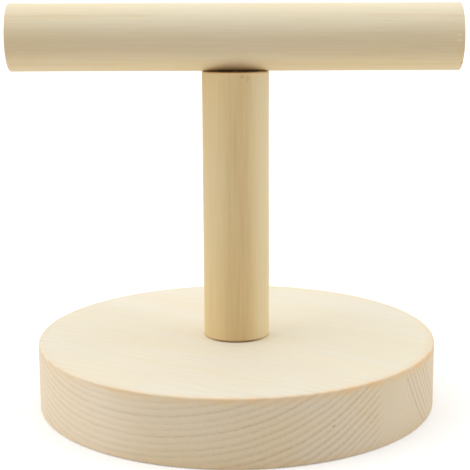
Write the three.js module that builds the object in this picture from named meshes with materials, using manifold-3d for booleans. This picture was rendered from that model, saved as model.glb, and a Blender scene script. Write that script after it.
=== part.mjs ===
// A tabletop play stand for a small parrot. A round perch lies across the top of a round post, and the
// post stands in the middle of a thick wooden disc. All of it is plain, unfinished softwood, held
// together by two screws that don't show.
//
// Millimetres, +Z up. The origin is on the floor, under the middle of the disc. The perch runs along X.

import * as THREE from "three";
import { mergeVertices } from "three/addons/utils/BufferGeometryUtils.js";
import Module from "manifold-3d";

const wasm = await Module();
wasm.setup();

// ---------------------------------------------------------------- driving dimensions

const baseDiameter = 109;
const baseThickness = 18;
const baseEdgeEase = 0.4; // radius that sandpaper leaves on the disc's two edges

const postDiameter = 18;
const postLength = 73; // from the top of the disc to the underside of the perch

const perchDiameter = 18;
const perchLength = 120;

const dowelEndEase = 0.4; // radius that sandpaper leaves on a sawn dowel end

const baseScrewDiameter = 4;
const baseScrewLength = 40; // from the face of the head to the point
const baseScrewHeadDiameter = 8;
const baseScrewHeadRim = 0.3; // height of the narrow rim round the face of the head
const baseScrewHeadAngle = THREE.MathUtils.degToRad(90); // whole angle of the countersunk cone
const baseScrewHeadSunk = 1; // how far the head's face lies above the floor

const driveWidth = 4.6; // the cross recess, across the face of the head
const driveWidthAtBottom = 1.6;
const driveSlot = 0.9; // thickness of each arm of the cross
const driveDepth = 1.9;

const perchScrewDiameter = 4;
const perchScrewInPost = 16; // length of the double-ended screw below the post's top end
const woodOverPerchScrew = 4; // wood left between the perch's screw hole and its top

const screwClearance = 0.3; // all round a screw, between it and its hole
const holeSpare = 1; // extra depth of a blind hole, past the screw's point
const screwPointAngle = THREE.MathUtils.degToRad(36); // whole angle of a screw's point
const drillPointAngle = THREE.MathUtils.degToRad(118); // whole angle of a drill's point

// ---------------------------------------------------------------- facets

const baseSides = 120;
const dowelSides = 72;
const screwSides = 24;
const easeDivisions = 2; // an eased edge has twice as many facets as this

// ---------------------------------------------------------------- sizes that follow from these

const baseRadius = baseDiameter / 2;
const postRadius = postDiameter / 2;
const perchRadius = perchDiameter / 2;
const postFootHeight = baseThickness;
const postTopHeight = postFootHeight + postLength;

const baseScrewRadius = baseScrewDiameter / 2;
const baseScrewHeadRadius = baseScrewHeadDiameter / 2;
const baseScrewConeHeight = coneHeight(baseScrewHeadRadius - baseScrewRadius, baseScrewHeadAngle);
const baseScrewHoleRadius = baseScrewRadius + screwClearance;
const baseScrewInPost = baseScrewHeadSunk + baseScrewLength - baseThickness;

const perchScrewRadius = perchScrewDiameter / 2;
const perchScrewHoleRadius = perchScrewRadius + screwClearance;
const perchHoleDepth = perchDiameter - woodOverPerchScrew;
const perchScrewInPerch = perchHoleDepth - holeSpare;

// ---------------------------------------------------------------- ways of making a solid

// Height of a cone from its base radius and its whole angle at the tip.
function coneHeight(radius, wholeAngle) {
  return radius / Math.tan(wholeAngle / 2);
}

// Turns an outline round Z. The outline is a path of (radius, height) that runs with the wood on its
// left, so a plain cylinder is drawn along its foot, up its side and back along its top.
function turned(outline, sides, firstAngle = 0) {
  const geometry = new THREE.LatheGeometry(outline.getPoints(easeDivisions), sides, firstAngle);
  geometry.rotateX(Math.PI / 2);
  return geometry;
}

// Goes on with an outline up the outside of a round piece, from its foot to its top, with both of
// its edges eased.
function drawOutside(outline, radius, foot, top, ease) {
  const inner = radius - ease;
  outline.lineTo(inner, foot);
  outline.absarc(inner, foot + ease, ease, -Math.PI / 2, 0, false);
  outline.absarc(inner, top - ease, ease, 0, Math.PI / 2, false);
}

function solidOf(geometry) {
  const bare = geometry.clone();
  bare.deleteAttribute("normal");
  bare.deleteAttribute("uv");
  const merged = mergeVertices(bare);
  const vertProperties = merged.getAttribute("position").array;
  const triVerts = new Uint32Array(merged.getIndex().array);
  return new wasm.Manifold(new wasm.Mesh({ numProp: 3, vertProperties, triVerts }));
}

function geometryOf(solid) {
  const { vertProperties, triVerts } = solid.getMesh();
  const geometry = new THREE.BufferGeometry();
  geometry.setAttribute("position", new THREE.BufferAttribute(vertProperties, 3));
  geometry.setIndex(new THREE.BufferAttribute(triVerts, 1));
  geometry.computeVertexNormals();
  return geometry;
}

function cut(geometry, cutters) {
  let solid = solidOf(geometry);
  for (const cutter of cutters) {
    solid = solid.subtract(solidOf(cutter));
  }
  return geometryOf(solid);
}

// ---------------------------------------------------------------- base disc

// The disc has a clearance hole through its middle. Underneath, the hole opens into a countersink
// that follows the screw's head, and into a short counterbore that keeps the head off the floor.
function baseDisc() {
  const counterboreRadius = baseScrewHeadRadius + screwClearance;
  const coneFoot = baseScrewHeadSunk + baseScrewHeadRim;
  const outline = new THREE.Path();
  outline.moveTo(counterboreRadius, 0);
  drawOutside(outline, baseRadius, 0, baseThickness, baseEdgeEase);
  outline.lineTo(baseScrewHoleRadius, baseThickness);
  outline.lineTo(baseScrewHoleRadius, coneFoot + baseScrewConeHeight);
  outline.lineTo(counterboreRadius, coneFoot);
  outline.lineTo(counterboreRadius, 0);
  return turned(outline, baseSides);
}

// ---------------------------------------------------------------- post

// The post is a piece of dowel with a blind pilot hole up from its foot and another down from its top.
// Its own origin is in the middle of its foot.
function post() {
  const footHoleDepth = baseScrewInPost + holeSpare;
  const topHoleFloor = postLength - perchScrewInPost - holeSpare;
  const outline = new THREE.Path();
  outline.moveTo(0, footHoleDepth + coneHeight(baseScrewHoleRadius, drillPointAngle));
  outline.lineTo(baseScrewHoleRadius, footHoleDepth);
  outline.lineTo(baseScrewHoleRadius, 0);
  drawOutside(outline, postRadius, 0, postLength, dowelEndEase);
  outline.lineTo(perchScrewHoleRadius, postLength);
  outline.lineTo(perchScrewHoleRadius, topHoleFloor);
  outline.lineTo(0, topHoleFloor - coneHeight(perchScrewHoleRadius, drillPointAngle));
  return turned(outline, dowelSides);
}

// ---------------------------------------------------------------- perch

// The perch is a piece of dowel along X, with its own origin in its middle. A flat facet faces down, so
// its facets lie outside the true round and the lowest of them is exactly one radius below the axis.
function perch() {
  const halfFacet = Math.PI / dowelSides;
  const cornerRadius = perchRadius / Math.cos(halfFacet);
  const outline = new THREE.Path();
  outline.moveTo(0, -perchLength / 2);
  drawOutside(outline, cornerRadius, -perchLength / 2, perchLength / 2, dowelEndEase);
  outline.lineTo(0, perchLength / 2);
  const dowel = turned(outline, dowelSides, halfFacet);
  dowel.rotateY(Math.PI / 2);
  return cut(dowel, [perchScrewHole()]);
}

// The blind pilot hole that is drilled up into the perch from below, with the drill's point at its end.
function perchScrewHole() {
  const mouth = -perchRadius;
  const pointHeight = coneHeight(perchScrewHoleRadius, drillPointAngle);
  const shoulder = mouth + perchHoleDepth - pointHeight;
  const outline = new THREE.Path();
  outline.moveTo(0, mouth - holeSpare);
  outline.lineTo(perchScrewHoleRadius, mouth - holeSpare);
  outline.lineTo(perchScrewHoleRadius, shoulder);
  outline.lineTo(0, shoulder + pointHeight);
  return turned(outline, screwSides);
}

// ---------------------------------------------------------------- screws

// A countersunk wood screw that points up. Its own origin is in the middle of the head's face.
function baseScrew() {
  const shankFoot = baseScrewHeadRim + baseScrewConeHeight;
  const pointFoot = baseScrewLength - coneHeight(baseScrewRadius, screwPointAngle);
  const outline = new THREE.Path();
  outline.moveTo(0, 0);
  outline.lineTo(baseScrewHeadRadius, 0);
  outline.lineTo(baseScrewHeadRadius, baseScrewHeadRim);
  outline.lineTo(baseScrewRadius, shankFoot);
  outline.lineTo(baseScrewRadius, pointFoot);
  outline.lineTo(0, baseScrewLength);
  return cut(turned(outline, screwSides), crossRecess());
}

// The two arms of the cross recess. Each is a wedge that narrows towards the bottom of the recess and
// starts a little below the face of the head.
function crossRecess() {
  const half = driveWidth / 2;
  const halfAtBottom = driveWidthAtBottom / 2;
  const overshoot = screwClearance;
  const wedge = new THREE.Shape();
  wedge.moveTo(-half, -overshoot);
  wedge.lineTo(half, -overshoot);
  wedge.lineTo(half, 0);
  wedge.lineTo(halfAtBottom, driveDepth);
  wedge.lineTo(-halfAtBottom, driveDepth);
  wedge.lineTo(-half, 0);
  wedge.closePath();
  return [0, Math.PI / 2].map((turn) => {
    const arm = new THREE.ExtrudeGeometry(wedge, { depth: driveSlot, bevelEnabled: false });
    arm.translate(0, 0, -driveSlot / 2);
    arm.rotateX(Math.PI / 2);
    arm.rotateZ(turn);
    return arm;
  });
}

// A double-ended screw, with a point up in the perch and a point down in the post. Its own origin is
// where the perch touches the post.
function perchScrew() {
  const pointHeight = coneHeight(perchScrewRadius, screwPointAngle);
  const outline = new THREE.Path();
  outline.moveTo(0, -perchScrewInPost);
  outline.lineTo(perchScrewRadius, -perchScrewInPost + pointHeight);
  outline.lineTo(perchScrewRadius, perchScrewInPerch - pointHeight);
  outline.lineTo(0, perchScrewInPerch);
  return turned(outline, screwSides);
}

// ---------------------------------------------------------------- materials

const discWood = new THREE.MeshStandardMaterial({ color: 0xefe0c4, roughness: 0.75, metalness: 0 });
const postWood = new THREE.MeshStandardMaterial({ color: 0xd6bd93, roughness: 0.7, metalness: 0 });
const perchWood = new THREE.MeshStandardMaterial({ color: 0xe6d3ae, roughness: 0.7, metalness: 0 });
const screwSteel = new THREE.MeshStandardMaterial({ color: 0xc2b68e, roughness: 0.35, metalness: 1 });

// ---------------------------------------------------------------- assembly

// A piece of the stand, at a height above the origin of the group that holds it.
function piece(name, geometry, material, height = 0) {
  const mesh = new THREE.Mesh(geometry, material);
  mesh.name = name;
  mesh.position.z = height;
  return mesh;
}

const base = new THREE.Group();
base.add(piece("base_disc", baseDisc(), discWood));
base.add(piece("base_screw", baseScrew(), screwSteel, baseScrewHeadSunk));

const upright = new THREE.Group();
upright.position.z = postFootHeight;
upright.add(piece("post", post(), postWood));

const crossbar = new THREE.Group();
crossbar.position.z = postTopHeight;
crossbar.add(piece("perch", perch(), perchWood, perchRadius));
crossbar.add(piece("perch_screw", perchScrew(), screwSteel));

const stand = new THREE.Group();
stand.add(base, upright, crossbar);

export default stand;
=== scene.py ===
# %% [markdown]
# A tabletop play stand for a small parrot: a round perch that lies across a round post, on a thick
# wooden disc. All three are bare, sanded softwood, and two steel screws hold them together from inside.
# Most of the work is in the wood: its growth rings, its fibres, and the edges that sandpaper has eased.
#
# This lesson makes each piece as its own mesh round the stand's real frame, and then its finish as
# shader nodes. The stand's own solids come from that frame, so nothing here has to be fitted to them.

# %% Load the stand's frame
import math

import bmesh
import bpy
from mathutils import Matrix, Vector, noise


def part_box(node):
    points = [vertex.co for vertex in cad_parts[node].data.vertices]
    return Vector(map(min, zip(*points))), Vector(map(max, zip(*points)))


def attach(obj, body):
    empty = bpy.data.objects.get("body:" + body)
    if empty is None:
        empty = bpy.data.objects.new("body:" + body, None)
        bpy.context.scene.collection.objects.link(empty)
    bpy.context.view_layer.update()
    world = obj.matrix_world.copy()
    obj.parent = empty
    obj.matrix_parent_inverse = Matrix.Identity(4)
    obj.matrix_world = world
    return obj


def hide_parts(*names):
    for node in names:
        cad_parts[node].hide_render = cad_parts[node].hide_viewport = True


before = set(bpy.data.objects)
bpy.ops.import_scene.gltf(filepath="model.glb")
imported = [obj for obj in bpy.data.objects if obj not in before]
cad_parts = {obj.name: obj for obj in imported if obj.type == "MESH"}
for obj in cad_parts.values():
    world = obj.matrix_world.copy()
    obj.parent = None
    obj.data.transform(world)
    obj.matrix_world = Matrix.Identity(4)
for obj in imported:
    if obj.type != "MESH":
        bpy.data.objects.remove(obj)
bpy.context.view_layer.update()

print("the frame holds", ", ".join(sorted(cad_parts)))

# %% [markdown]
# The sizes come from the frame, so that a piece can't drift from the solid that it stands for. Only
# what the frame doesn't say is written down here, such as how far sandpaper has rounded an edge.
# Blender works in metres, and a millimetre is easier to think in, so MM turns one into the other.

# %% Read the sizes of the pieces
MM = 0.001

disc_low, disc_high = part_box("base_disc")
post_low, post_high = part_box("post")
perch_low, perch_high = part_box("perch")

DISC_RADIUS = (disc_high.x - disc_low.x) / 2
DISC_TOP = disc_high.z
POST_RADIUS = (post_high.x - post_low.x) / 2
POST_TOP = post_high.z
PERCH_RADIUS = (perch_high.z - perch_low.z) / 2
PERCH_HALF = (perch_high.x - perch_low.x) / 2
PERCH_AXIS = (perch_high.z + perch_low.z) / 2

print(f"disc {2 * DISC_RADIUS / MM:.1f} mm across, {DISC_TOP / MM:.1f} mm thick")
print(f"post {2 * POST_RADIUS / MM:.1f} mm across, from {post_low.z / MM:.1f} to {POST_TOP / MM:.1f} mm")
print(f"perch {2 * PERCH_RADIUS / MM:.1f} mm across, {2 * PERCH_HALF / MM:.1f} mm long")

# %% [markdown]
# Every piece of this stand is round, so one helper can make them all: it turns an outline round an
# axis, as a lathe does. Blender's Spin tool or its Screw modifier would do that too. Written out by
# hand, the outline may change a little as it goes round, which a real edge does because a hand holds
# the sandpaper, and which a screw's thread does by its nature. Each point of the outline also carries
# a wear value, from 0 to 1, which is stored on the mesh for the finish to read.

# %% Turn an outline into a mesh
SMOOTH_BELOW = math.radians(35)


def object_from(mesh, name):
    """Makes an object of a bmesh, smooth except where its faces meet at a steep angle."""
    bmesh.ops.recalc_face_normals(mesh, faces=mesh.faces)
    data = bpy.data.meshes.new(name)
    mesh.to_mesh(data)
    mesh.free()
    data.shade_smooth()
    data.set_sharp_from_angle(angle=SMOOTH_BELOW)
    piece = bpy.data.objects.new(name, data)
    bpy.context.scene.collection.objects.link(piece)
    return piece


def turned(name, outline_at, sides, closed=False):
    """Turns an outline round Z. outline_at(turn) gives its points as (radius, height, wear)."""
    mesh = bmesh.new()
    wear = mesh.verts.layers.float.new("wear")
    columns = []
    for side in range(sides):
        turn = 2 * math.pi * side / sides
        column = []
        for place, (radius, height, worn) in enumerate(outline_at(turn)):
            if columns and radius == 0:
                column.append(columns[0][place])
                continue
            point = mesh.verts.new((radius * math.cos(turn), radius * math.sin(turn), height))
            point[wear] = worn
            column.append(point)
        columns.append(column)
    count = len(columns[0])
    for side, column in enumerate(columns):
        beside = columns[(side + 1) % sides]
        for place in range(count if closed else count - 1):
            above = (place + 1) % count
            corners = [column[place], beside[place], beside[above], column[above]]
            mesh.faces.new(list(dict.fromkeys(corners)))
    return object_from(mesh, name)


# %% [markdown]
# A sanded edge is a quarter of a small circle. Its radius sways a little round the piece, between a
# light touch and a firm one. Perlin noise gives that sway: it is smooth, and the same on every run.

# %% Ease an edge
EASE_STEPS = 6
SWAY_WAVES = 1.3
WEAR_FADE = 1.8 * MM
WEAR_ON_FLAT = 0.4


def swayed(ease, share, turn, seed):
    """An edge's radius at one turn. It sways round the piece by up to a share of itself."""
    spot = Vector((SWAY_WAVES * math.cos(turn), SWAY_WAVES * math.sin(turn), seed))
    return ease * (1 + share * noise.noise(spot))


def eased_edge(radius, height, ease, rising, worn=1.0):
    """The points of an eased outer edge. rising is True at a foot and False at a top.

    The wear is strongest where the edge meets the side, and a little of it runs on over the flat.
    """
    start, centre = (-math.pi / 2, height + ease) if rising else (0, height - ease)
    points = []
    for step in range(EASE_STEPS + 1):
        angle = start + math.pi / 2 * step / EASE_STEPS
        across, along = math.cos(angle), math.sin(angle)
        wear = worn * (WEAR_ON_FLAT + (1 - WEAR_ON_FLAT) * across)
        points.append((radius - ease + ease * across, centre + ease * along, wear))
    return points


# %% [markdown]
# The disc is cut from an 18 mm board. A clearance hole runs through its middle, and underneath it
# opens into a countersink for the screw's head and a short counterbore, which keeps the head off the
# table. Its outline closes on itself round the wood, and it is turned in 256 steps, so that its edge
# stays round in a close view. The wear of its top edge is uneven, as in the photograph: strongest at
# the right and the front, and least at the left.

# %% Make the disc
SCREW_RADIUS = 2.0 * MM
SCREW_GAP = 0.3 * MM
HEAD_RADIUS = 4.0 * MM
HEAD_RIM = 0.3 * MM
HEAD_SUNK = 1.0 * MM
BORE = SCREW_RADIUS + SCREW_GAP
MOUTH = HEAD_RADIUS + SCREW_GAP

DISC_EASE = 0.55 * MM
DISC_SWAY = 0.25
DISC_SIDES = 256
FOOT_WEAR = 0.4
TOP_WEAR = 0.65
TOP_WEAR_SWING = 0.35
LEAST_WORN = math.radians(155)


def disc_outline(turn):
    top_ease = swayed(DISC_EASE, DISC_SWAY, turn, seed=1.7)
    foot_ease = swayed(DISC_EASE, DISC_SWAY, turn, seed=5.2)
    top_wear = TOP_WEAR - TOP_WEAR_SWING * math.cos(turn - LEAST_WORN)
    cone_foot = HEAD_SUNK + HEAD_RIM
    cone_top = cone_foot + (HEAD_RADIUS - SCREW_RADIUS)
    reach = DISC_RADIUS - DISC_EASE - WEAR_FADE
    return [
        (MOUTH, 0.0, 0.0),
        (reach, 0.0, 0.0),
        *eased_edge(DISC_RADIUS, 0.0, foot_ease, rising=True, worn=FOOT_WEAR),
        (DISC_RADIUS, DISC_EASE + WEAR_FADE, 0.0),
        (DISC_RADIUS, DISC_TOP - DISC_EASE - WEAR_FADE, 0.0),
        *eased_edge(DISC_RADIUS, DISC_TOP, top_ease, rising=False, worn=top_wear),
        (reach, DISC_TOP, 0.0),
        (BORE, DISC_TOP, 0.0),
        (BORE, cone_top, 0.0),
        (MOUTH, cone_foot, 0.0),
    ]


disc = turned("wooden_disc", disc_outline, DISC_SIDES, closed=True)
print("disc:", len(disc.data.polygons), "faces")

# %% [markdown]
# The post is a length of 18 mm dowel with a pilot hole up from its foot and another down from its top.
# Real dowel is never quite round: the cutter leaves it a few hundredths of a millimetre thin here and
# there. The same noise takes that off along its length, and never adds to it, so that the piece stays
# inside its solid.

# %% Make the post
POST_FOOT_EASE = 0.7 * MM
POST_TOP_EASE = 0.35 * MM
DOWEL_SWAY = 0.2
DOWEL_SIDES = 160
DOWEL_RELIEF = 0.05 * MM
RELIEF_LENGTH = 25 * MM
BASE_SCREW_LENGTH = 40 * MM
PERCH_SCREW_IN_POST = 16 * MM
HOLE_SPARE = 1.0 * MM
DRILL_ANGLE = math.radians(118)
HOLE_POINT = BORE / math.tan(DRILL_ANGLE / 2)


def dowel_side(turn, radius, foot, top, seed, steps=24):
    """The points up the side of a dowel, a little out of round except where it meets its edges."""
    points = []
    for step in range(steps + 1):
        height = foot + (top - foot) * step / steps
        spot = Vector((math.cos(turn), math.sin(turn), seed + height / RELIEF_LENGTH))
        worn_off = DOWEL_RELIEF * (0.5 + 0.5 * noise.noise(spot))
        ends = min(1, step / 2, (steps - step) / 2)
        points.append((radius - worn_off * ends, height, 0.0))
    return points


def post_outline(turn):
    foot_hole = HEAD_SUNK + BASE_SCREW_LENGTH + HOLE_SPARE
    top_hole = POST_TOP - PERCH_SCREW_IN_POST - HOLE_SPARE
    foot_ease = swayed(POST_FOOT_EASE, DOWEL_SWAY, turn, seed=3.1)
    top_ease = swayed(POST_TOP_EASE, DOWEL_SWAY, turn, seed=8.4)
    side_foot = DISC_TOP + POST_FOOT_EASE + WEAR_FADE
    side_top = POST_TOP - POST_TOP_EASE - WEAR_FADE
    return [
        (0, foot_hole + HOLE_POINT, 0.0),
        (BORE, foot_hole, 0.0),
        (BORE, DISC_TOP, 0.0),
        *eased_edge(POST_RADIUS, DISC_TOP, foot_ease, rising=True),
        *dowel_side(turn, POST_RADIUS, side_foot, side_top, seed=2.0),
        *eased_edge(POST_RADIUS, POST_TOP, top_ease, rising=False),
        (BORE, POST_TOP, 0.0),
        (BORE, top_hole, 0.0),
        (0, top_hole - HOLE_POINT, 0.0),
    ]


post = turned("round_post", post_outline, DOWEL_SIDES)
print("post:", len(post.data.polygons), "faces")

# %% [markdown]
# The perch is the same dowel, lying down, with its sawn ends eased only lightly. It is turned upright
# and then tipped over, and its pilot hole is drilled from below by a Boolean modifier, because a hole
# across the grain of a turned piece isn't part of its outline. The modifier is applied at once, so
# that the finished mesh is what rides on the stand.

# %% Make the perch
PERCH_EASE = 0.35 * MM
PERCH_SCREW_IN_PERCH = 13 * MM
DRILL_SIDES = 48


def drill(piece, cutter):
    """Cuts one object out of another, keeps the result as the mesh, and throws the cutter away."""
    bite = piece.modifiers.new("drill", "BOOLEAN")
    bite.operation, bite.solver, bite.object = "DIFFERENCE", "EXACT", cutter
    bpy.context.view_layer.update()
    cut = piece.evaluated_get(bpy.context.evaluated_depsgraph_get())
    data = bpy.data.meshes.new_from_object(cut)
    piece.modifiers.clear()
    piece.data = data
    bpy.data.objects.remove(cutter)


def perch_outline(turn):
    left_ease = swayed(PERCH_EASE, DOWEL_SWAY, turn, seed=4.4)
    right_ease = swayed(PERCH_EASE, DOWEL_SWAY, turn, seed=9.6)
    end = PERCH_HALF - PERCH_EASE - WEAR_FADE
    return [
        (0, -PERCH_HALF, 0.0),
        *eased_edge(PERCH_RADIUS, -PERCH_HALF, left_ease, rising=True),
        *dowel_side(turn, PERCH_RADIUS, -end, end, seed=6.0, steps=36),
        *eased_edge(PERCH_RADIUS, PERCH_HALF, right_ease, rising=False),
        (0, PERCH_HALF, 0.0),
    ]


def perch_drill_outline(turn):
    depth = PERCH_SCREW_IN_PERCH + HOLE_SPARE
    return [
        (0, -HOLE_SPARE, 0.0),
        (BORE, -HOLE_SPARE, 0.0),
        (BORE, depth - HOLE_POINT, 0.0),
        (0, depth, 0.0),
    ]


perch = turned("round_perch", perch_outline, DOWEL_SIDES)
tip_over = Matrix.Translation((0, 0, PERCH_AXIS)) @ Matrix.Rotation(math.pi / 2, 4, "Y")
perch.data.transform(tip_over)
perch_drill = turned("perch_drill", perch_drill_outline, DRILL_SIDES)
perch_drill.data.transform(Matrix.Translation((0, 0, POST_TOP)))
drill(perch, perch_drill)
print("perch:", len(perch.data.polygons), "faces")

# %% [markdown]
# A wood screw has a deep, sharp thread with wide valleys, and most of it is a ridge that winds round a
# thinner core. On the lathe helper that is only an outline whose radius depends on the turn: the ridge
# is furthest out where the height, less the share of a pitch that this turn has climbed, is half a
# pitch past a whole number of them. The thread runs out towards the point and towards the plain shank.

# %% Cut a thread
THREAD_PITCH = 1.8 * MM
THREAD_CORE = 0.64
RIDGE_SHARE = 0.42
CREST_AT_POINT = 0.25
POINT_LENGTH = 5.5 * MM
POINT_FULLNESS = 0.7
RUN_OUT = 2.0 * MM
ROW = 0.12 * MM
SCREW_SIDES = 40


def thread_points(turn, start, end, tip_up):
    """The points of a threaded stretch from start up to end. Its point is at one of the two ends."""
    points = []
    rows = round((end - start) / ROW)
    for row in range(1, rows):
        height = start + (end - start) * row / rows
        to_tip = (end - height) if tip_up else (height - start)
        to_shank = (height - start) if tip_up else (end - height)
        climbed = (height / THREAD_PITCH - turn / (2 * math.pi)) % 1
        ridge = max(0.0, 1 - abs(2 * climbed - 1) / RIDGE_SHARE)
        begun = min(1.0, to_shank / RUN_OUT)
        narrowed = min(1.0, to_tip / POINT_LENGTH) ** POINT_FULLNESS
        core = SCREW_RADIUS * (1 - (1 - THREAD_CORE) * begun) * narrowed
        crest = SCREW_RADIUS * (CREST_AT_POINT + (1 - CREST_AT_POINT) * narrowed)
        if to_tip <= 2 * ROW:
            crest = core
        points.append((core + (crest - core) * ridge, height, 0.0))
    return points


# %% [markdown]
# The lower screw holds the disc to the post. Its flat head fills the countersink, and a driver's cross
# is cut in it: four wings that taper towards its foot. The cross is made of two wedges, one across the
# other, and both are taken out of the head by the same Boolean modifier as before.

# %% Make the lower screw
HEAD_SHARP = 0.08 * MM
HEAD_RUBBED_FROM = 0.8 * HEAD_RADIUS
NECK_BELOW = 0.3 * MM
NECK_ABOVE = 0.4 * MM
THREAD_IN_DISC = 1.5 * MM
CROSS_TURN = math.radians(32)
CROSS_WEDGE = [
    # depth from the head's face, width and thickness
    (-0.3 * MM, 4.6 * MM, 0.85 * MM),
    (0.0 * MM, 4.6 * MM, 0.85 * MM),
    (1.4 * MM, 2.0 * MM, 0.55 * MM),
    (2.0 * MM, 0.7 * MM, 0.275 * MM),
]


def base_screw_outline(turn):
    face = HEAD_SUNK
    cone_foot = face + HEAD_RIM
    shank = cone_foot + HEAD_RADIUS - SCREW_RADIUS
    thread_foot = DISC_TOP - THREAD_IN_DISC
    point = face + BASE_SCREW_LENGTH
    return [
        (0, face, 0.0),
        (HEAD_RUBBED_FROM, face, 0.2),
        (HEAD_RADIUS - HEAD_SHARP, face, 1.0),
        (HEAD_RADIUS, face + HEAD_SHARP, 1.0),
        (HEAD_RADIUS, cone_foot, 0.6),
        (SCREW_RADIUS + NECK_BELOW, shank - NECK_BELOW, 0.0),
        (SCREW_RADIUS, shank + NECK_ABOVE, 0.0),
        (SCREW_RADIUS, thread_foot, 0.0),
        *thread_points(turn, thread_foot, point, tip_up=True),
        (0, point, 0.0),
    ]


def cross_wedge(turn):
    """One wedge of the driver's cross, from just under the head's face up into the head."""
    mesh = bmesh.new()
    corners = [(1, 1), (-1, 1), (-1, -1), (1, -1)]
    rings = []
    for depth, width, wall in CROSS_WEDGE:
        height = HEAD_SUNK + depth
        rings.append([mesh.verts.new((width / 2 * x, wall / 2 * y, height)) for x, y in corners])
    for low, high in zip(rings, rings[1:]):
        for side in range(4):
            following = (side + 1) % 4
            mesh.faces.new([low[side], low[following], high[following], high[side]])
    mesh.faces.new(list(reversed(rings[0])))
    mesh.faces.new(rings[-1])
    bmesh.ops.rotate(mesh, verts=mesh.verts, matrix=Matrix.Rotation(turn, 3, "Z"))
    return object_from(mesh, "cross_wedge")


base_screw = turned("countersunk_screw", base_screw_outline, SCREW_SIDES)
for quarter in range(2):
    drill(base_screw, cross_wedge(CROSS_TURN + quarter * math.pi / 2))
print("lower screw:", len(base_screw.data.polygons), "faces")

# %% [markdown]
# The upper screw has no head, because it lies wholly inside: it is threaded from both ends, with a
# short plain waist between, and the perch is turned down onto it until it meets the post. The waist is
# as thin as the thread's core, so that no bright steel shows in the wedge under the perch.

# %% Make the upper screw
WAIST_HALF = 1.5 * MM
WAIST_TAPER = 0.5 * MM


def perch_screw_outline(turn):
    foot = POST_TOP - PERCH_SCREW_IN_POST
    top = POST_TOP + PERCH_SCREW_IN_PERCH
    waist = SCREW_RADIUS * THREAD_CORE
    waist_foot = POST_TOP - WAIST_HALF
    waist_top = POST_TOP + WAIST_HALF
    return [
        (0, foot, 0.0),
        *thread_points(turn, foot, waist_foot, tip_up=False),
        (waist, waist_foot + WAIST_TAPER, 0.0),
        (waist, waist_top - WAIST_TAPER, 0.0),
        *thread_points(turn, waist_top, top, tip_up=True),
        (0, top, 0.0),
    ]


perch_screw = turned("double_ended_screw", perch_screw_outline, SCREW_SIDES)
print("upper screw:", len(perch_screw.data.polygons), "faces")

# %% [markdown]
# Each mesh stands for a solid of the frame, and is listed with the slot of its finish. The stand has
# no joints, so they all ride on its one body.

# %% Put the pieces on the frame
PIECES = [
    (disc, "base_disc", "disc_wood"),
    (post, "post", "post_wood"),
    (perch, "perch", "perch_wood"),
    (base_screw, "base_screw", "screw_steel"),
    (perch_screw, "perch_screw", "screw_steel"),
]
for piece, node, slot in PIECES:
    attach(piece, "root")
    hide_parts(node)
print(len(PIECES), "pieces ride on the stand")

# %% [markdown]
# The finishes are built from nodes, and a few short helpers keep that readable. Most add one node, link
# or set its inputs, and hand back the socket that the next node needs.

# %% Small helpers for shader nodes
MIX_SOCKETS = {"FLOAT": (2, 3, 0), "VECTOR": (4, 5, 1), "RGBA": (6, 7, 2)}
SOCKET_KINDS = {"float": "NodeSocketFloat", "vector": "NodeSocketVector", "color": "NodeSocketColor"}


def feed(tree, node, inputs):
    """Links or sets each named or numbered input of a node."""
    for name, value in inputs.items():
        if isinstance(value, bpy.types.NodeSocket):
            tree.links.new(value, node.inputs[name])
        else:
            node.inputs[name].default_value = value


def add_node(tree, kind, inputs=None, **settings):
    """Adds a node in the next free place, sets its properties, and feeds its inputs."""
    node = tree.nodes.new(kind)
    node.location = (220 * (len(tree.nodes) % 12), -260 * (len(tree.nodes) // 12))
    for name, value in settings.items():
        setattr(node, name, value)
    feed(tree, node, inputs or {})
    return node


def calc(tree, operation, *values, clamp=False):
    """A sum of numbers, which may be sockets."""
    inputs = dict(enumerate(values))
    return add_node(tree, "ShaderNodeMath", inputs, operation=operation, use_clamp=clamp).outputs[0]


def vector_calc(tree, operation, *values, out="Vector"):
    """A sum of vectors, which may be sockets."""
    inputs = dict(enumerate(values))
    return add_node(tree, "ShaderNodeVectorMath", inputs, operation=operation).outputs[out]


def rise(tree, value, low, high, to_low=0.0, to_high=1.0):
    """Goes smoothly from to_low to to_high as a value goes from low to high."""
    inputs = {"Value": value, "From Min": low, "From Max": high, "To Min": to_low, "To Max": to_high}
    return add_node(tree, "ShaderNodeMapRange", inputs, interpolation_type="SMOOTHSTEP").outputs[0]


def mix(tree, share, first, second, kind="RGBA", blend="MIX"):
    """Mixes two colours, numbers or vectors. The Mix node has its own sockets for each kind."""
    low, high, out = MIX_SOCKETS[kind]
    inputs = {0: share, low: first, high: second}
    return add_node(tree, "ShaderNodeMix", inputs, data_type=kind, blend_type=blend).outputs[out]


def graded(tree, value, first, *steps):
    """A colour that changes with a value. Each step says from where to where, and into which colour."""
    color = first
    for start, end, after in steps:
        color = mix(tree, rise(tree, value, start, end), color, after)
    return color


def noise_of(tree, place, features, detail=2.0, roughness=0.5):
    """Noise with about this many features per millimetre along each axis."""
    scaled = vector_calc(tree, "MULTIPLY", place, features)
    inputs = {"Vector": scaled, "Scale": 1.0, "Detail": detail, "Roughness": roughness}
    return add_node(tree, "ShaderNodeTexNoise", inputs).outputs["Fac"]


def new_group(name, inputs, outputs):
    """Starts a shader node group. inputs are (name, kind, default), and outputs are (name, kind)."""
    group = bpy.data.node_groups.new(name, "ShaderNodeTree")
    for label, kind, default in inputs:
        socket = group.interface.new_socket(label, in_out="INPUT", socket_type=SOCKET_KINDS[kind])
        socket.default_value = default
    for label, kind in outputs:
        group.interface.new_socket(label, in_out="OUTPUT", socket_type=SOCKET_KINDS[kind])
    return group, group.nodes.new("NodeGroupInput").outputs, group.nodes.new("NodeGroupOutput")


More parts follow.
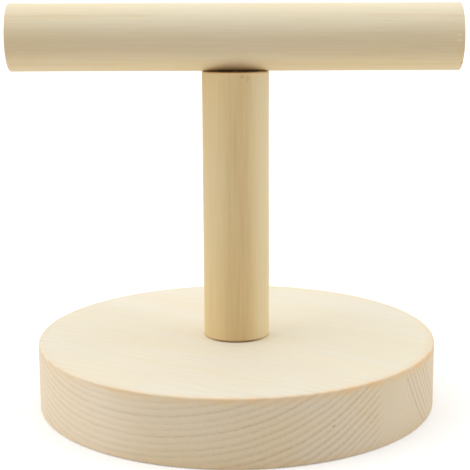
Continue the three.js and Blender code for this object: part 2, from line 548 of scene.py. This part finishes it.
# %% [markdown]
# Softwood is a stack of cones round the pith. Each year adds a wide pale layer of early wood that
# darkens slowly into a thin brown line of late wood, and then stops short. A picture of a plank pasted
# round a piece would show that pattern on the sides and lose it at the ends. A solid texture keeps it:
# the colour at a point depends on how far that point is from the pith, so the rings on the rim of the
# disc run on as stripes over its top, wherever it was cut.
#
# The next helpers take a place in millimetres with the fibres along X and the pith at the middle. They
# bend the rings with a slow noise, give each year its own strength, and lay fibres over them that are
# dozens of times longer than they are wide.

# %% Find the years and the fibres at a place in the tree
BEND_PER_WANDER = 6.0
YEAR_DARKEST = 0.86
YEAR_STOPS = 0.88
WEAKEST_YEAR = 0.6


def reach_from_pith(tree, place):
    """How far a place is from the pith, which runs along X."""
    across = vector_calc(tree, "MULTIPLY", place, (0, 1, 1))
    return vector_calc(tree, "LENGTH", across, out="Value")


def bent(group, place, wander):
    """The place, moved by a slow noise, so that the rings wander."""
    scaled = vector_calc(group, "MULTIPLY", place, (0.012, 0.05, 0.05))
    slow = add_node(group, "ShaderNodeTexNoise", {"Vector": scaled, "Scale": 1.0, "Detail": 3.0})
    bend = vector_calc(group, "SUBTRACT", slow.outputs["Color"], (0.5, 0.5, 0.5))
    bend = vector_calc(group, "MULTIPLY", bend, calc(group, "MULTIPLY", wander, BEND_PER_WANDER))
    return vector_calc(group, "ADD", place, bend)


def late_wood(group, place, given):
    """How dark the late wood is at a place: it deepens through each year, and then stops short."""
    years = reach_from_pith(group, bent(group, place, given["Wander"]))
    years = calc(group, "DIVIDE", years, given["Year width"])
    uneven = add_node(group, "ShaderNodeTexNoise", {"W": years, "Scale": 0.45, "Detail": 1.0},
                      noise_dimensions="1D").outputs["Fac"]
    years = calc(group, "MULTIPLY_ADD", uneven, given["Uneven years"], years)
    years = calc(group, "ADD", years, given["Year shift"])
    season = calc(group, "FRACT", years)
    darkening = calc(group, "POWER", rise(group, season, given["Late from"], YEAR_DARKEST), 1.3)
    late = calc(group, "MULTIPLY", darkening, rise(group, season, YEAR_STOPS, 1.0, 1.0, 0.0))
    year = {"W": calc(group, "FLOOR", years)}
    own = add_node(group, "ShaderNodeTexWhiteNoise", year, noise_dimensions="1D").outputs["Value"]
    late = calc(group, "MULTIPLY", late, rise(group, own, 0.0, 1.0, WEAKEST_YEAR, 1.0))
    feather = noise_of(group, place, (0.05, 1.6, 1.6), detail=3.0)
    return calc(group, "MULTIPLY", late, rise(group, feather, 0.25, 0.7, 0.45, 1.15))


def fibre_noise(group, place):
    """Long fibres, with finer hairs among them."""
    fibres = noise_of(group, place, (0.05, 3.2, 3.2), detail=4.0, roughness=0.6)
    hairs = noise_of(group, place, (0.35, 11.0, 11.0), detail=2.0)
    return calc(group, "ADD", calc(group, "MULTIPLY", fibres, 0.7), calc(group, "MULTIPLY", hairs, 0.3))


print("a year is darkest", round(100 * YEAR_DARKEST), "% of the way through")

# %% [markdown]
# The softwood group puts those together. Late wood shows strongly where the fibres end in the surface
# and faintly where they lie along it. The pale wood also drifts a little between warm and cool, and
# end grain is darker and warmer, because light sinks into its open fibres.

# %% Build the softwood group
END_GRAIN_TINT = (1.0, 0.915, 0.825, 1)
WARM_CLOUD = (1.0, 0.985, 0.955, 1)
COOL_CLOUD = (1.0, 1.005, 1.03, 1)
FIBRE_CONTRAST = 0.12
WOOD_ROUGHNESS = 0.58


def build_softwood():
    group, given, out = new_group(
        "Softwood",
        [
            ("Place", "vector", (0, 0, 0)),
            ("End grain", "float", 0.0),
            ("Year width", "float", 1.5),
            ("Year shift", "float", 0.0),
            ("Uneven years", "float", 0.4),
            ("Late from", "float", 0.3),
            ("Wander", "float", 1.0),
            ("Late on faces", "float", 0.3),
            ("Late on ends", "float", 1.0),
            ("Late share", "float", 1.0),
            ("Fibre strength", "float", 0.3),
            ("Pale wood", "color", (0.86, 0.77, 0.60, 1)),
            ("Late wood", "color", (0.55, 0.40, 0.22, 1)),
        ],
        [("Color", "color"), ("Roughness", "float"), ("Height", "float")],
    )
    place, end_grain = given["Place"], given["End grain"]

    shown = mix(group, calc(group, "SQRT", end_grain), given["Late on faces"], given["Late on ends"],
                kind="FLOAT")
    shown = calc(group, "MULTIPLY", shown, given["Late share"])
    ring = calc(group, "MULTIPLY", late_wood(group, place, given), shown, clamp=True)
    wood = mix(group, ring, given["Pale wood"], given["Late wood"])

    cloud = noise_of(group, place, (0.02, 0.07, 0.07))
    tint = graded(group, cloud, WARM_CLOUD, (0.35, 0.65, COOL_CLOUD))
    wood = mix(group, 1.0, wood, tint, blend="MULTIPLY")
    wood = mix(group, end_grain, wood, mix(group, 1.0, wood, END_GRAIN_TINT, blend="MULTIPLY"))

    fibre = fibre_noise(group, place)
    light = calc(group, "MULTIPLY", rise(group, fibre, 0.25, 0.75, -1.0, 1.0), given["Fibre strength"])
    light = calc(group, "MULTIPLY_ADD", light, FIBRE_CONTRAST, 1.0)
    light = add_node(group, "ShaderNodeCombineColor", {"Red": light, "Green": light, "Blue": light})
    wood = mix(group, 1.0, wood, light.outputs[0], blend="MULTIPLY")

    rough = calc(group, "MULTIPLY_ADD", fibre, 0.16, WOOD_ROUGHNESS)
    rough = calc(group, "MULTIPLY_ADD", ring, -0.08, rough)
    height = calc(group, "MULTIPLY_ADD", ring, 0.5, calc(group, "MULTIPLY", fibre, 0.8))
    feed(group, out, {"Color": wood, "Roughness": rough, "Height": height})
    return group


softwood = build_softwood()
print("softwood group:", len(softwood.nodes), "nodes")

# %% [markdown]
# Two things lie over bare wood here. The eased edges are a little darker and more orange, because
# sandpaper burnishes them and the end grain drinks in more of what touches it. And where two pieces
# meet, painted shade darkens the narrow gap between them. Both are masks over the wood's own colour,
# so they share a group.

# %% Build the wear and painted shade group
def build_wear_and_shade():
    group, given, out = new_group(
        "Wear and painted shade",
        [
            ("Color", "color", (0.8, 0.7, 0.5, 1)),
            ("Place", "vector", (0, 0, 0)),
            ("Wear", "float", 0.0),
            ("Wear strength", "float", 0.35),
            # The seam and its colour are painted shade, in the narrow gap where two pieces meet.
            ("Seam", "float", 0.0),
            ("Burnished", "color", (0.92, 0.64, 0.34, 1)),
            ("Seam color", "color", (0.12, 0.06, 0.025, 1)),
        ],
        [("Color", "color")],
    )
    patches = noise_of(group, given["Place"], (0.25, 0.25, 0.25), detail=3.0)
    worn = calc(group, "MULTIPLY", given["Wear"], rise(group, patches, 0.3, 0.7, 0.35, 1.0))
    worn = calc(group, "MULTIPLY", worn, given["Wear strength"])
    burnished = mix(group, worn, given["Color"], given["Burnished"])
    feed(group, out, {"Color": mix(group, given["Seam"], burnished, given["Seam color"])})
    return group


wear_and_shade = build_wear_and_shade()
print("handling group:", len(wear_and_shade.nodes), "nodes")

# %% [markdown]
# A wood material then only says how its own piece was cut: which way the fibres run, where the pith
# lay, how wide the years are, and its colours. The Mapping node, set to Texture, turns a point of the
# piece into a place in the tree, in millimetres.

# %% Find a place on the stand and in the tree
def frame_place(tree):
    """A point's place on the stand, in millimetres."""
    point = add_node(tree, "ShaderNodeTexCoord").outputs["Object"]
    return vector_calc(tree, "MULTIPLY", point, (1 / MM, 1 / MM, 1 / MM))


def frame_xyz(tree):
    """The X, Y and Z of a point's place on the stand, in millimetres."""
    return add_node(tree, "ShaderNodeSeparateXYZ", {0: frame_place(tree)}).outputs


def tree_place(tree, pith, turn):
    """A point's place in the tree it was cut from, in millimetres, with the fibres along X."""
    point = add_node(tree, "ShaderNodeTexCoord").outputs["Object"]
    inputs = {"Vector": point, "Location": Vector(pith) * MM, "Rotation": turn, "Scale": (MM, MM, MM)}
    return add_node(tree, "ShaderNodeMapping", inputs, vector_type="TEXTURE").outputs[0]


def end_grain_share(tree, fibres):
    """How squarely a surface cuts across the fibres: 0 along them, and 1 at a sawn end."""
    normal = add_node(tree, "ShaderNodeNewGeometry").outputs["Normal"]
    return calc(tree, "ABSOLUTE", vector_calc(tree, "DOT_PRODUCT", normal, fibres, out="Value"))


def oval_shade(tree, spot, half_x, half_y, inner, outer, darkness):
    """Painted shade round the stand's axis, which fades out between two shares of an oval's half widths.
    """
    along = calc(tree, "POWER", calc(tree, "DIVIDE", spot["X"], half_x), 2.0)
    aside = calc(tree, "POWER", calc(tree, "DIVIDE", spot["Y"], half_y), 2.0)
    reach = calc(tree, "SQRT", calc(tree, "ADD", along, aside))
    return rise(tree, reach, inner, outer, darkness, 0.0)


def front_share(tree, spot):
    """1 at the front of the post's foot, where the painted shade of its gap is strongest, and little at
    its sides.
    """
    return rise(tree, spot["Y"], -8, -5, 1.0, 0.15)


# %% [markdown]
# The last helpers start a material, place the two groups in it, and lay the piece's own small marks
# over them. A mark is a soft oval spot of colour, such as a stain or a chip.

# %% Make a wood material
GRAIN_DEPTH = 0.05 * MM
WOOD_SHINE = 0.25


def cleared_tree(owner):
    """Turns on the nodes of a material or a world, and gives back its empty node tree."""
    owner.use_nodes = True
    owner.node_tree.nodes.clear()
    return owner.node_tree


def new_material(name):
    """Starts a material, and gives it back with its node tree and its shader."""
    material = bpy.data.materials.new(name)
    tree = cleared_tree(material)
    shader = add_node(tree, "ShaderNodeBsdfPrincipled")
    output = add_node(tree, "ShaderNodeOutputMaterial", {"Surface": shader.outputs[0]})
    output.is_active_output = True
    return material, tree, shader


def softwood_node(tree, place, end_grain, **values):
    """Places the softwood group. An underscore in the name of a value stands for a space."""
    inputs = {name.replace("_", " "): value for name, value in values.items()}
    inputs |= {"Place": place, "End grain": end_grain}
    return add_node(tree, "ShaderNodeGroup", inputs, node_tree=softwood).outputs


def marked(tree, color, marks):
    """Lays marks over a colour. Each has its middle and half sizes in millimetres, color, strength."""
    place = frame_place(tree)
    for middle, half_sizes, mark_color, strength in marks:
        away = vector_calc(tree, "DIVIDE", vector_calc(tree, "SUBTRACT", place, middle), half_sizes)
        away = vector_calc(tree, "LENGTH", away, out="Value")
        color = mix(tree, rise(tree, away, 0.4, 1.1, strength, 0.0), color, mark_color)
    return color


def finish_wood(tree, shader, wood, painted_shade, marks, wear_strength):
    """Lays wear, painted shade and marks over the wood, and feeds its shader."""
    handled = add_node(tree, "ShaderNodeGroup", {
        "Color": wood["Color"],
        "Place": frame_place(tree),
        "Wear": add_node(tree, "ShaderNodeAttribute", attribute_name="wear").outputs["Fac"],
        "Wear strength": wear_strength,
        "Seam": painted_shade,
    }, node_tree=wear_and_shade)
    grain = {"Strength": 0.6, "Distance": GRAIN_DEPTH, "Height": wood["Height"]}
    feed(tree, shader, {
        "Base Color": marked(tree, handled.outputs["Color"], marks),
        "Roughness": wood["Roughness"],
        "Normal": add_node(tree, "ShaderNodeBump", grain).outputs[0],
        "Specular IOR Level": WOOD_SHINE,
    })


# %% [markdown]
# The disc's rim tells how it was cut. Seen from the front its rings hang like shallow bowls that
# steepen to the right, so the pith lay above the board and to the left, and the fibres run towards the
# lower right. Further right the rings fade into a plain stretch, and then lean the other way: the board
# was glued up from two staves. So the disc has two places in two trees, with the joint between them.
# A pith is given by how far it lies across the fibres from the disc's middle, and how high above the
# table. The rim was sanded across its fibres nearly all the way round, so it counts as partly end grain
# even where the fibres run along it.
#
# The rings don't show equally everywhere, so each stave has a list of where they come and go. The rim
# is palest at the left and yellowest over the middle of the front, so its colour is a mix along X, and
# it has one small dark speck.

# %% Finish the disc
FIBRE_TURN = math.radians(148)
FIBRES = Vector((math.cos(FIBRE_TURN), math.sin(FIBRE_TURN), 0))
ACROSS = Vector((math.sin(FIBRE_TURN), -math.cos(FIBRE_TURN), 0))
STAVE_JOINT = -5.2
LEFT_PITH = (-91, 106.4)
RIGHT_PITH = (48, 44)
LEFT_YEARS = [
    # across the disc or from the pith, from where to where in millimetres, share before and after
    ("across", -52, -44, 0.7, 1.0),
    ("across", -19, -14, 1.0, 0.15),
    ("from_pith", 119, 127, 1.0, 0.55),
]
RIGHT_YEARS = [
    ("from_pith", 48, 51, 0.3, 1.0),
    ("from_pith", 60, 63, 1.0, 0.15),
]
RIM_GRAIN = 0.55
DISC_PALE = (0.885, 0.825, 0.67, 1)
RIM_LEFT = (0.951, 0.862, 0.70, 1)
RIM_MIDDLE = (0.876, 0.776, 0.583, 1)
RIM_MARKS = [((23.4, -49.2, 9.0), (0.7, 0.6, 0.4), (0.40, 0.31, 0.16, 1), 0.45)]
# Painted shade on the disc's top, in a ring round the front of the post's foot.
DISC_FOOT_SHADE = dict(half_x=POST_RADIUS / MM, half_y=POST_RADIUS / MM, inner=0.93, outer=1.05, darkness=0.45)


def years_shown(tree, measures, ramps):
    """How much of the late wood shows on a stave."""
    share = 1.0
    for measure, *ramp in ramps:
        share = calc(tree, "MULTIPLY", share, rise(tree, measures[measure], *ramp))
    return share


def disc_material():
    material, tree, shader = new_material("disc_softwood")
    across = vector_calc(tree, "DOT_PRODUCT", frame_place(tree), ACROSS, out="Value")
    on_right = calc(tree, "GREATER_THAN", across, STAVE_JOINT)
    left, right = [
        tree_place(tree, ACROSS * side + Vector((0, 0, height)), (0, 0, FIBRE_TURN))
        for side, height in (LEFT_PITH, RIGHT_PITH)
    ]
    place = mix(tree, on_right, left, right, kind="VECTOR")
    measures = {"across": across, "from_pith": reach_from_pith(tree, place)}
    left_years, right_years = [years_shown(tree, measures, ramps) for ramps in (LEFT_YEARS, RIGHT_YEARS)]
    on_flat = end_grain_share(tree, (0, 0, 1))
    rim_grain = calc(tree, "MULTIPLY_ADD", on_flat, -RIM_GRAIN, RIM_GRAIN)
    spot = frame_xyz(tree)
    rim_pale = graded(tree, spot["X"], RIM_LEFT, (-36, -20, RIM_MIDDLE), (4, 26, DISC_PALE))
    wood = softwood_node(
        tree, place, calc(tree, "MAXIMUM", end_grain_share(tree, FIBRES), rim_grain),
        Year_width=1.63, Year_shift=0.6, Uneven_years=0.35, Late_from=0.2, Wander=0.3,
        Late_on_faces=0.08, Late_on_ends=0.6, Fibre_strength=0.4,
        Late_share=mix(tree, on_right, left_years, right_years, kind="FLOAT"),
        Pale_wood=mix(tree, on_flat, rim_pale, DISC_PALE), Late_wood=(0.64, 0.47, 0.28, 1),
    )
    # Painted shade round the post's foot.
    painted_shade = calc(tree, "MULTIPLY", oval_shade(tree, spot, **DISC_FOOT_SHADE), front_share(tree, spot))
    finish_wood(tree, shader, wood, painted_shade, RIM_MARKS, wear_strength=1.0)
    return material


disc.data.materials.append(disc_material())
print("disc finished")

# %% [markdown]
# The post stands along its fibres. Its pith lay behind it, so the years lie flat against its front,
# where one late layer is broad enough to show as a brown band up the middle. The early wood is yellow
# with resin on the left of that band and paler on its right, so its colour is a mix along X. The top
# end has painted shade near the perch, in the wedge between the flat end and the round, and the foot
# has a thin line of painted shade in the gap under its eased edge. Two faint stains mark it just under
# its top.

# %% Finish the post
POST_PITH = (-1.8, 26, 0)
BAND_FADE = (5.0, 7.0)
POST_LEFT = (0.83, 0.65, 0.36, 1)
POST_MIDDLE = (0.87, 0.68, 0.385, 1)
POST_RIGHT = (0.91, 0.775, 0.50, 1)
POST_MARKS = [
    ((1.8, -8.9, 90.1), (0.8, 1.0, 0.45), (0.48, 0.38, 0.17, 1), 0.4),
    ((3.2, -8.4, 89.6), (0.35, 1.0, 0.9), (0.60, 0.40, 0.20, 1), 0.45),
]
# Painted shade: a thin line at the post's foot, and a wedge on its top end under the perch.
POST_FOOT_SHADE = (DISC_TOP / MM + 0.3, DISC_TOP / MM + 0.7)
POST_WEDGE_SHADE = dict(half_x=7.4, half_y=8.8, inner=0.7, outer=1.0, darkness=0.5)
WEDGE_FLOOR = (POST_TOP / MM - 0.35, POST_TOP / MM - 0.05)


def post_material():
    material, tree, shader = new_material("post_softwood")
    spot = frame_xyz(tree)
    wood = softwood_node(
        tree, tree_place(tree, POST_PITH, (0, math.pi / 2, 0)), end_grain_share(tree, (0, 0, 1)),
        Year_width=3.0, Year_shift=0.153, Uneven_years=0.0, Late_from=0.5, Wander=0.08,
        Late_on_faces=0.5, Late_on_ends=0.8, Fibre_strength=0.45,
        Late_share=rise(tree, calc(tree, "ABSOLUTE", spot["X"]), *BAND_FADE, 1.0, 0.12),
        Pale_wood=graded(tree, spot["X"], POST_LEFT, (-3, 1, POST_MIDDLE), (3, 8, POST_RIGHT)),
        Late_wood=(0.66, 0.44, 0.19, 1),
    )
    # Painted shade at the foot and on the top end.
    foot = calc(tree, "MULTIPLY", rise(tree, spot["Z"], *POST_FOOT_SHADE, 0.5, 0.0), front_share(tree, spot))
    wedge = oval_shade(tree, spot, **POST_WEDGE_SHADE)
    wedge = calc(tree, "MULTIPLY", wedge, rise(tree, spot["Z"], *WEDGE_FLOOR))
    painted_shade = calc(tree, "MAXIMUM", foot, wedge)
    finish_wood(tree, shader, wood, painted_shade, POST_MARKS, wear_strength=0.25)
    return material


post.data.materials.append(post_material())
print("post finished")

# %% [markdown]
# The perch is a paler dowel with its fibres along X. The pith lay far below it, so the years cross it
# in level layers about 4 mm apart. A layer that lies almost level with the surface comes and goes, so
# each one shows on the side as a few faint, straight streaks, and the list says from where to where.
# The early wood is painted lighter on top, where the light falls, darker at its front, which is in
# shade, and a little lighter again underneath, so its colour is a mix along Z. Two small pale chips
# and two stains mark its right end.

# %% Finish the perch
PERCH_PITH = (0, 0, PERCH_AXIS / MM - 70)
# Painted light and shade: the perch's wood is lighter underneath and on top, and darker at its front.
PERCH_LOW = (0.87, 0.725, 0.467, 1)
PERCH_FRONT_SHADE = (0.80, 0.66, 0.43, 1)
PERCH_TOP_LIGHT = (0.915, 0.81, 0.58, 1)
PERCH_MARKS = [
    ((58.4, -9.0, 100.9), (1.1, 1.5, 0.4), (0.95, 0.80, 0.56, 1), 0.6),
    ((58.4, -9.0, 99.5), (1.1, 1.5, 0.4), (0.95, 0.80, 0.56, 1), 0.6),
    ((59.2, -8.4, 96.7), (1.3, 2.0, 1.8), (0.84, 0.60, 0.36, 1), 0.35),
    ((59.8, -6.1, 93.4), (0.5, 1.0, 0.5), (0.38, 0.26, 0.12, 1), 0.5),
]
PERCH_STREAKS = [
    # height over the perch's axis, and where the streak starts and ends along X, in millimetres
    (6.2, -64, -20),
    (6.2, 33, 64),
    (-2.3, -47, -15),
    (-6.5, -60, -24),
    (-6.5, 8, 64),
]
STREAK_FADE = 5.0
STREAK_TRACE = 0.12
# Painted shade on the perch's underside, where it lies on the post.
PERCH_WEDGE_SHADE = dict(half_x=6.6, half_y=2.8, inner=0.3, outer=1.0, darkness=0.22)


def streak_share(tree, spot):
    """How much of the late wood shows: all of it along a streak, and a trace elsewhere."""
    share = STREAK_TRACE
    level = calc(tree, "SUBTRACT", spot["Z"], PERCH_AXIS / MM)
    for height, start, end in PERCH_STREAKS:
        off = calc(tree, "ABSOLUTE", calc(tree, "SUBTRACT", level, height))
        begun = rise(tree, spot["X"], start - STREAK_FADE, start + STREAK_FADE)
        ended = rise(tree, spot["X"], end - STREAK_FADE, end + STREAK_FADE, 1.0, 0.0)
        streak = calc(tree, "MULTIPLY", calc(tree, "MULTIPLY", begun, ended), rise(tree, off, 1, 2, 1, 0))
        share = calc(tree, "MAXIMUM", share, streak)
    return share


def perch_material():
    material, tree, shader = new_material("perch_softwood")
    spot = frame_xyz(tree)
    wood = softwood_node(
        tree, tree_place(tree, PERCH_PITH, (0, 0, 0)), end_grain_share(tree, (1, 0, 0)),
        Year_width=4.25, Year_shift=-0.06, Uneven_years=0.0, Late_from=0.7, Wander=0.12,
        Late_on_faces=0.28, Late_on_ends=0.6, Fibre_strength=0.45,
        Late_share=streak_share(tree, spot),
        # Painted light and shade along Z.
        Pale_wood=graded(tree, spot["Z"], PERCH_LOW, (94, 97.5, PERCH_FRONT_SHADE), (99, 105.5, PERCH_TOP_LIGHT)),
        Late_wood=(0.79, 0.57, 0.31, 1),
    )
    # Painted shade on the underside, near the post.
    underside = rise(tree, spot["Z"], PERCH_AXIS / MM, PERCH_AXIS / MM + 1, 1.0, 0.0)
    painted_shade = calc(tree, "MULTIPLY", oval_shade(tree, spot, **PERCH_WEDGE_SHADE), underside)
    finish_wood(tree, shader, wood, painted_shade, PERCH_MARKS, wear_strength=0.12)
    return material


perch.data.materials.append(perch_material())
print("perch finished")

# %% [markdown]
# The screws are steel with a yellow zinc plating. The plating is a thin film, so it drifts between
# straw, green and pink, and it is duller where the driver and the wood have rubbed it. It is a metal,
# so nearly all of what the eye sees in it is reflection, and its roughness matters more than its
# colour. The upper screw's waist has painted shade, a dark and rough colour where it crosses the
# wedge, so that it doesn't glint there.

# %% Finish the screws
ZINC_STRAW = (0.80, 0.66, 0.34, 1)
ZINC_GREEN = (0.70, 0.66, 0.42, 1)
ZINC_PINK = (0.78, 0.58, 0.42, 1)
RUBBED_ZINC = (0.62, 0.60, 0.56, 1)
# Painted shade: a dark colour on the upper screw's waist, where it crosses the wedge.
WAIST_SHADE_COLOR = (0.50, 0.38, 0.24, 1)
WAIST_ROUGHNESS = 0.9
WAIST_SHADE_FADE = (0.8, 1.8)
SCRATCH_DEPTH = 0.02 * MM


def screw_material():
    material, tree, shader = new_material("yellow_zinc")
    place = frame_place(tree)
    film = noise_of(tree, place, (0.5, 0.5, 0.3), detail=3.0)
    color = graded(tree, film, ZINC_STRAW, (0.3, 0.6, ZINC_GREEN), (0.58, 0.75, ZINC_PINK))
    scratches = noise_of(tree, place, (9.0, 9.0, 3.0), detail=4.0)
    wear = add_node(tree, "ShaderNodeAttribute", attribute_name="wear").outputs["Fac"]
    rubbed = calc(tree, "MULTIPLY", wear, rise(tree, scratches, 0.4, 0.62))
    color = mix(tree, rubbed, color, RUBBED_ZINC)
    # Painted shade on the waist, within a millimetre or two of the wedge.
    from_wedge = calc(tree, "ABSOLUTE", calc(tree, "SUBTRACT", frame_xyz(tree)["Z"], POST_TOP / MM))
    shaded_waist = rise(tree, from_wedge, *WAIST_SHADE_FADE, 1.0, 0.0)
    rough = calc(tree, "MULTIPLY_ADD", scratches, 0.25, 0.18)
    scratched = {"Strength": 0.3, "Distance": SCRATCH_DEPTH, "Height": scratches}
    feed(tree, shader, {
        "Base Color": mix(tree, shaded_waist, color, WAIST_SHADE_COLOR),
        "Roughness": calc(tree, "MAXIMUM", rough, calc(tree, "MULTIPLY", shaded_waist, WAIST_ROUGHNESS)),
        "Normal": add_node(tree, "ShaderNodeBump", scratched).outputs[0],
        "Metallic": 1.0,
    })
    return material


zinc = screw_material()
for screw in (base_screw, perch_screw):
    screw.data.materials.append(zinc)
print("screws finished")

# %% [markdown]
# The stand is on a plain white table. The table is a real surface, so it throws light up under the
# perch and keeps the stand's shadow. What the camera sees of it is a little brighter than what the
# stand receives from it, so that the far table runs into the white behind without a line.

# %% Lay the table
TABLE_HALF = 40.0
TABLE_DROP = 0.05 * MM
TABLE_GREY = 0.82
TABLE_LIFT = 0.30


def seen_share(tree):
    """1 for what the camera sees, straight or in a reflection, and 0 for what only lights the stand."""
    path = add_node(tree, "ShaderNodeLightPath").outputs
    seen = calc(tree, "MAXIMUM", path["Is Camera Ray"], path["Is Glossy Ray"])
    return calc(tree, "MAXIMUM", seen, path["Is Transmission Ray"])


def make_table():
    mesh = bmesh.new()
    corners = [(-1, -1), (1, -1), (1, 1), (-1, 1)]
    mesh.faces.new([mesh.verts.new((TABLE_HALF * x, TABLE_HALF * y, -TABLE_DROP)) for x, y in corners])
    table = object_from(mesh, "table")
    material = bpy.data.materials.new("white_table")
    tree = cleared_tree(material)
    lift = calc(tree, "MULTIPLY", seen_share(tree), TABLE_LIFT)
    paint = add_node(tree, "ShaderNodeBsdfDiffuse", {"Color": (TABLE_GREY, TABLE_GREY, TABLE_GREY, 1)})
    glow = add_node(tree, "ShaderNodeEmission", {"Strength": lift})
    both = add_node(tree, "ShaderNodeAddShader", {0: paint.outputs[0], 1: glow.outputs[0]})
    add_node(tree, "ShaderNodeOutputMaterial", {"Surface": both.outputs[0]})
    table.data.materials.append(material)


make_table()
print("table laid")

# %% [markdown]
# The light is that of a small product tent: broad and soft from above, with a glowing wall on each side
# and behind, and little from where the camera looks in. So a round piece is brightest on top, a little
# less at its sides, and darkest where it faces the camera. Each wall is a sun lamp that looks very
# wide, because a sun lights the near and the far table alike. A strength of 1 is what turns a white
# surface that faces it white.

# %% Set up the light
WHITE_ROOF = (1.0, 1.0, 1.0)
WARM_WALL = (1.0, 0.98, 0.955)
SOFT_LIGHTS = [
    # name, turn from +X and height in degrees, how wide it looks in degrees, strength, colour
    ("tent_above", 135, 84, 90, 0.66, WHITE_ROOF),
    ("tent_left", 189, 20, 66, 0.41, WARM_WALL),
    ("tent_right", 353, 20, 66, 0.36, WARM_WALL),
    ("tent_behind", 90, 45, 90, 0.13, WHITE_ROOF),
]
TENT_GLOW = 0.01


def soft_light(name, turn, height, width, strength, color):
    lamp = bpy.data.lights.new(name, "SUN")
    lamp.angle, lamp.energy, lamp.color = math.radians(width), math.pi * strength, color
    light = bpy.data.objects.new(name, lamp)
    light.rotation_euler = (0, math.radians(90 - height), math.radians(turn))
    bpy.context.scene.collection.objects.link(light)


def make_world():
    """A faint even light from all round, and white for whatever looks straight at it."""
    world = bpy.data.worlds.new("tent")
    bpy.context.scene.world = world
    tree = cleared_tree(world)
    strength = calc(tree, "MULTIPLY_ADD", seen_share(tree), 1.0 - TENT_GLOW, TENT_GLOW)
    sky = add_node(tree, "ShaderNodeBackground", {"Color": (1, 1, 1, 1), "Strength": strength})
    add_node(tree, "ShaderNodeOutputWorld", {"Surface": sky.outputs[0]})


for soft in SOFT_LIGHTS:
    soft_light(*soft)
make_world()
print(len(bpy.data.lights), "soft lights")

# %% [markdown]
# The camera stands a third of a metre away, a little above the perch, and looks down at the disc. Its
# place, aim and lens come from the lines of the stand in the photograph. The photograph is framed a
# little off the lens's middle, so the lens is shifted by a twentieth of the frame each way.

# %% Place the camera
SENSOR = 36.0
LENS_IN_PIXELS = 1278.0
FRAME_PIXELS = 470
CAMERA_PLACE = Vector((0, -343.2, 119.3)) * MM
CAMERA_PAN = math.radians(1.02)
CAMERA_TILT = math.radians(11.0)
CAMERA_ROLL = math.radians(-0.12)
CAMERA_SHIFT = -0.05
NEAREST_SEEN = 0.01


def make_camera():
    lens = bpy.data.cameras.new("camera")
    lens.sensor_width = SENSOR
    lens.lens = LENS_IN_PIXELS / FRAME_PIXELS * SENSOR
    lens.shift_x = lens.shift_y = CAMERA_SHIFT
    lens.clip_start = NEAREST_SEEN
    camera = bpy.data.objects.new("camera", lens)
    bpy.context.scene.collection.objects.link(camera)
    flat = math.cos(CAMERA_TILT)
    ahead = Vector((math.sin(CAMERA_PAN) * flat, math.cos(CAMERA_PAN) * flat, -math.sin(CAMERA_TILT)))
    level = ahead.cross(Vector((0, 0, 1))).normalized()
    upright = level.cross(ahead)
    right = level * math.cos(CAMERA_ROLL) + upright * math.sin(CAMERA_ROLL)
    up = upright * math.cos(CAMERA_ROLL) - level * math.sin(CAMERA_ROLL)
    turn = Matrix((right, up, -ahead)).transposed().to_4x4()
    camera.matrix_world = Matrix.Translation(CAMERA_PLACE) @ turn
    bpy.context.scene.camera = camera


make_camera()
bpy.context.scene.view_settings.view_transform = "Standard"
print(f"lens {bpy.context.scene.camera.data.lens:.1f} mm")

# %% Finish
bpy.context.view_layer.update()
